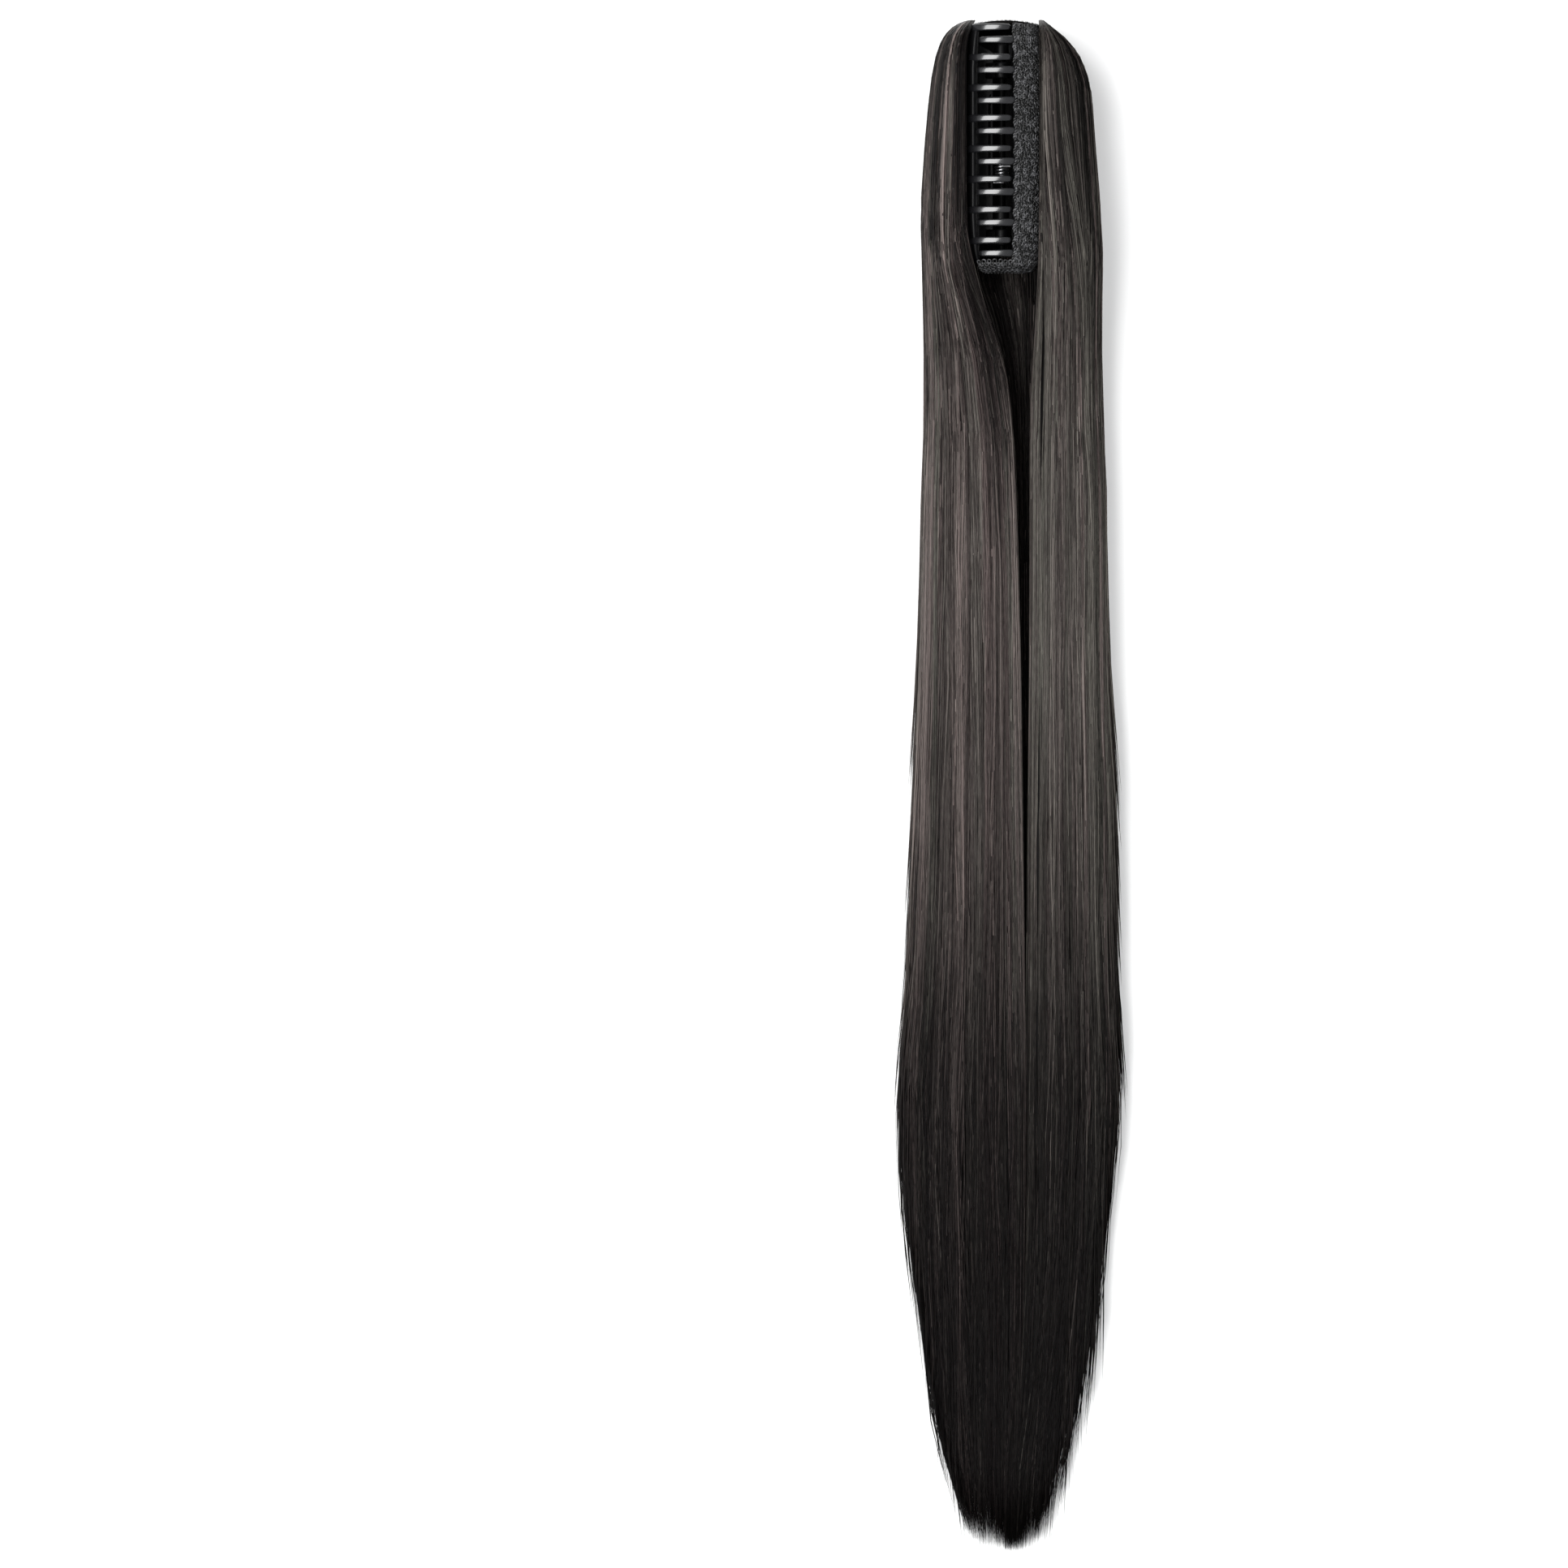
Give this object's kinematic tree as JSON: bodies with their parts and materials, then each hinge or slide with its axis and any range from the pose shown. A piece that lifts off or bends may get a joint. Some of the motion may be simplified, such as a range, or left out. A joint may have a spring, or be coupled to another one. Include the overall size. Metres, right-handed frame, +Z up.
{
  "type": "claw-clip ponytail hairpiece",
  "caption": "Long straight ponytail hairpiece on a black two-jaw claw clip: two side locks over a smooth layer, parted below the claw, with a crocheted net on one jaw and feathered tips.",
  "frame": {"origin": "on the surface that the hairpiece lies on, under the middle of its outline", "axes": "+Y from the hair's tips to the claw's end, +Z up from the surface through the claw's teeth, +X to the right seen from above"},
  "size_m": [0.0917, 0.66, 0.0476],
  "materials": {
    "hair": "fine dark brown fibre with a soft sheen",
    "black_plastic": "polished black",
    "steel": "plain drawn wire",
    "net_thread": "black crocheted thread"
  },
  "bodies": {
    "hair": {"hair_front": "hair", "hair_left": "hair", "hair_right": "hair", "hinge_pin": "steel", "claw_spring": "steel"},
    "left_jaw": {"claw_jaw_left": "black_plastic"},
    "right_jaw": {"claw_jaw_right": "black_plastic", "claw_net": "net_thread"}
  },
  "joints": [
    {"name": "right_jaw_hinge", "type": "hinge", "parent": "hair", "child": "right_jaw", "pos_m": [-0.0037, 0.276, 0.0245], "axis": [0, 1, 0], "range_deg": [0, 38], "stiffness_Nm_per_rad": 0.5, "springref_deg": -20.05},
    {"name": "left_jaw_hinge", "type": "hinge", "parent": "hair", "child": "left_jaw", "pos_m": [-0.0037, 0.276, 0.0245], "axis": [0, -1, 0], "range_deg": [0, 38], "stiffness_Nm_per_rad": 0.5, "springref_deg": -20.05}
  ],
  "couplings": [
    {"joint": "left_jaw_hinge", "follows": "right_jaw_hinge", "ratio": 1}
  ]
}
